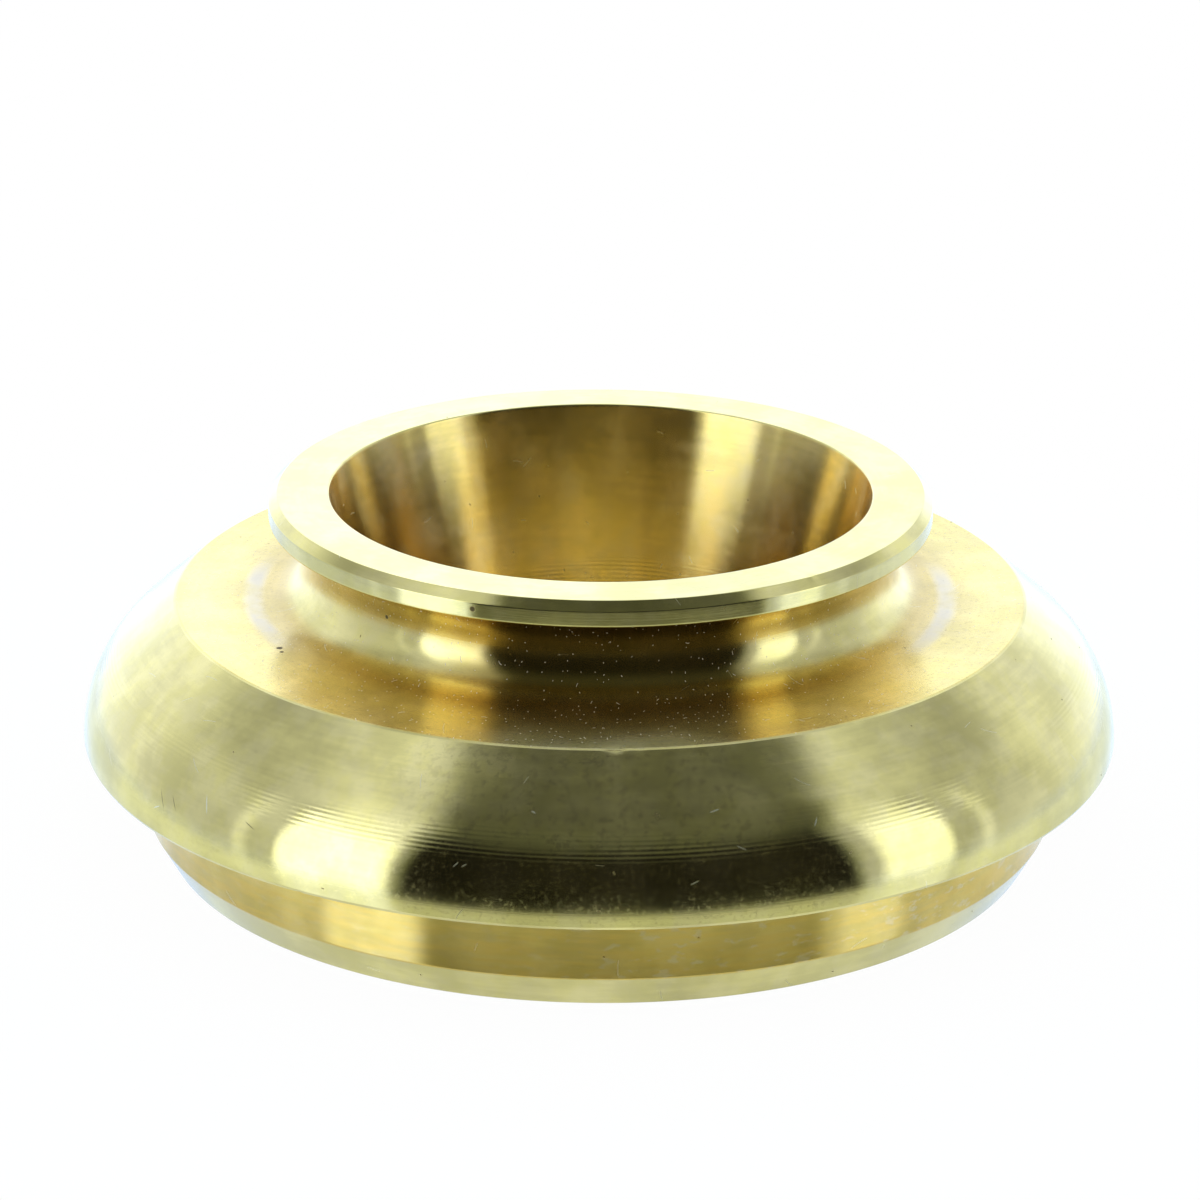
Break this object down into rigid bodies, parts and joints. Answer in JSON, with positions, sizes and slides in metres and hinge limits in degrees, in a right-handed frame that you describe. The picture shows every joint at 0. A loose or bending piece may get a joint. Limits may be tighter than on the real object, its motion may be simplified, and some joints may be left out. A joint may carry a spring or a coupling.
{
  "type": "turned collar",
  "caption": "Brass turned collar: a ring with a tapered through bore, a grooved neck under its lip, a flat shoulder and a flared skirt with a rounded crown over a stepped base.",
  "frame": {"origin": "centre of the base's underside, on the turning axis", "axes": "+Z along the turning axis, from the base towards the lip"},
  "size_m": [0.0768, 0.0768, 0.0266],
  "materials": {
    "brass": "as turned, with fine circular feed lines"
  },
  "bodies": {
    "root": {"collar": "brass"}
  },
  "joints": []
}
